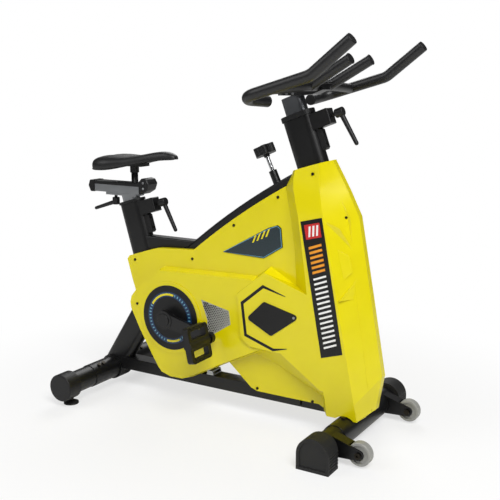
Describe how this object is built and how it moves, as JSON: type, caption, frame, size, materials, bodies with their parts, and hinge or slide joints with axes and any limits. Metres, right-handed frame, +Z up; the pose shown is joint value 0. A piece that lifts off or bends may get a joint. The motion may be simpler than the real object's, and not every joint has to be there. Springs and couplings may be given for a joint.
{
  "type": "exercise bike",
  "caption": "Indoor cycling bike with a flywheel in faceted side covers, sliding saddle and handlebar, hand brake knob and wheeled base.",
  "frame": {"origin": "on the floor, at the middle of the bike's length and width", "axes": "+X forward, the way the rider faces; +Y to the rider's left; +Z up"},
  "size_m": [1.1073, 0.562, 1.1346],
  "materials": {
    "frame_black": "satin black powder coat",
    "black_plastic": "fine-grained moulded plastic",
    "black_rubber": "matt rubber",
    "cover_yellow": "glossy moulded plastic",
    "chrome": "polished chrome plate",
    "aluminium": "satin anodised",
    "steel": "brushed steel",
    "cast_iron": "painted cast iron with machined rim",
    "wheel_grey": "grey moulded tread",
    "saddle_black": "smooth synthetic leather",
    "grip_black": "dipped vinyl grip",
    "nameplate_dark": "gloss printed plate",
    "mesh_grey": "perforated mesh"
  },
  "bodies": {
    "frame": {"front_stabiliser": "frame_black", "rear_stabiliser": "frame_black", "stabiliser_sleeves": "frame_black", "front_foot_caps": "black_rubber", "rear_end_caps": "black_plastic", "floor_beam": "frame_black", "seat_tube": "frame_black", "rear_leg": "frame_black", "spine_tube": "frame_black", "head_tube": "frame_black", "front_post": "frame_black", "crank_bracket": "frame_black", "bearings": "steel", "flywheel_stands": "frame_black", "cover_bracket": "steel", "tube_bushes": "black_plastic", "clamp_blocks": "frame_black", "guide_strips": "black_plastic", "frame_fasteners": "chrome", "brake_sleeve": "frame_black", "drive_belt": "black_rubber", "side_cover_right": "cover_yellow", "side_cover_left": "cover_yellow", "cover_screws": "chrome", "crank_discs": "black_plastic", "access_covers": "black_plastic", "vent_meshes": "mesh_grey", "nameplates": "nameplate_dark"},
    "foot_right": {"levelling_foot_right": "frame_black"},
    "foot_left": {"levelling_foot_left": "frame_black"},
    "wheel_right": {"transport_wheel_right": "wheel_grey"},
    "wheel_left": {"transport_wheel_left": "wheel_grey"},
    "seat_post": {"seat_post": "aluminium"},
    "saddle_slider": {"seat_rail": "aluminium", "rail_cover_strip": "black_plastic", "rail_end_blocks": "black_plastic", "rail_bolts": "chrome", "saddle_stem": "chrome", "saddle": "saddle_black"},
    "rail_lever": {"rail_lever": "black_plastic"},
    "seat_lever": {"seat_height_lever": "black_plastic"},
    "bar_lever": {"bar_height_lever": "black_plastic"},
    "handlebar": {"handlebar_post": "aluminium", "handlebar_stem": "frame_black", "stem_bolts": "chrome", "outer_bar_right": "grip_black", "outer_bar_left": "grip_black", "cross_bar": "grip_black", "bar_end_plugs": "black_plastic"},
    "crankset": {"crank_spindle": "steel", "drive_pulley": "black_plastic", "crank_arms": "frame_black", "pedal_axles": "steel"},
    "pedal_right": {"pedal_right": "black_plastic"},
    "pedal_left": {"pedal_left": "black_plastic"},
    "flywheel": {"flywheel": "cast_iron", "flywheel_axle": "steel"},
    "brake_rod": {"brake_rod": "chrome"},
    "brake_knob": {"brake_knob": "black_plastic"},
    "brake_shoe": {"brake_shoe": "black_rubber"}
  },
  "joints": [
    {"name": "foot_right_screw", "type": "slide", "parent": "frame", "child": "foot_right", "axis": [0, 0, -1], "range_m": [0, 0.012]},
    {"name": "foot_left_screw", "type": "slide", "parent": "frame", "child": "foot_left", "axis": [0, 0, -1], "range_m": [0, 0.012]},
    {"name": "wheel_right_spin", "type": "hinge", "parent": "frame", "child": "wheel_right", "pos_m": [0.5205, -0.1815, 0.039], "axis": [0, 1, 0], "continuous": true},
    {"name": "wheel_left_spin", "type": "hinge", "parent": "frame", "child": "wheel_left", "pos_m": [0.5205, 0.1815, 0.039], "axis": [0, 1, 0], "continuous": true},
    {"name": "seat_height", "type": "slide", "parent": "frame", "child": "seat_post", "axis": [-0.284, 0, 0.9588], "range_m": [0, 0.18]},
    {"name": "saddle_fore_aft", "type": "slide", "parent": "seat_post", "child": "saddle_slider", "axis": [1, 0, 0], "range_m": [-0.02, 0.045]},
    {"name": "rail_lever_turn", "type": "hinge", "parent": "seat_post", "child": "rail_lever", "pos_m": [-0.455, 0, 0.64], "axis": [0, 0, 1], "range_deg": [-75, 75]},
    {"name": "seat_lever_turn", "type": "hinge", "parent": "frame", "child": "seat_lever", "pos_m": [-0.28561, 0, 0.63662], "axis": [0.9588, 0, 0.284], "range_deg": [-150, 150]},
    {"name": "bar_lever_turn", "type": "hinge", "parent": "frame", "child": "bar_lever", "pos_m": [0.3298, 0, 0.92911], "axis": [0.9397, 0, 0.342], "range_deg": [-90, 90]},
    {"name": "handlebar_height", "type": "slide", "parent": "frame", "child": "handlebar", "axis": [-0.342, 0, 0.9397], "range_m": [-0.03, 0.12]},
    {"name": "flywheel_spin", "type": "hinge", "parent": "frame", "child": "flywheel", "pos_m": [0.172, 0, 0.345], "axis": [0, 1, 0], "continuous": true},
    {"name": "crank_spin", "type": "hinge", "parent": "frame", "child": "crankset", "pos_m": [-0.185, 0, 0.29], "axis": [0, 1, 0], "continuous": true},
    {"name": "pedal_right_spin", "type": "hinge", "parent": "crankset", "child": "pedal_right", "pos_m": [-0.01812, -0.15, 0.25756], "axis": [0, 1, 0], "continuous": true},
    {"name": "pedal_left_spin", "type": "hinge", "parent": "crankset", "child": "pedal_left", "pos_m": [-0.35188, 0.15, 0.32244], "axis": [0, 1, 0], "continuous": true},
    {"name": "brake_press", "type": "slide", "parent": "frame", "child": "brake_rod", "axis": [0.421, 0, -0.907], "range_m": [0, 0.008], "stiffness_N_per_m": 4000, "springref_m": -0.004},
    {"name": "brake_knob_turn", "type": "hinge", "parent": "brake_rod", "child": "brake_knob", "pos_m": [0.114, 0, 0.823], "axis": [0.421, 0, -0.907], "range_deg": [0, 720.01]},
    {"name": "brake_shoe_screw", "type": "slide", "parent": "brake_rod", "child": "brake_shoe", "axis": [0.421, 0, -0.907], "range_m": [0, 0.006]}
  ],
  "couplings": [
    {"joint": "crank_spin", "follows": "flywheel_spin", "ratio": 0.27174},
    {"joint": "brake_knob_turn", "follows": "brake_shoe_screw", "rad_per_m": 2094.4}
  ]
}
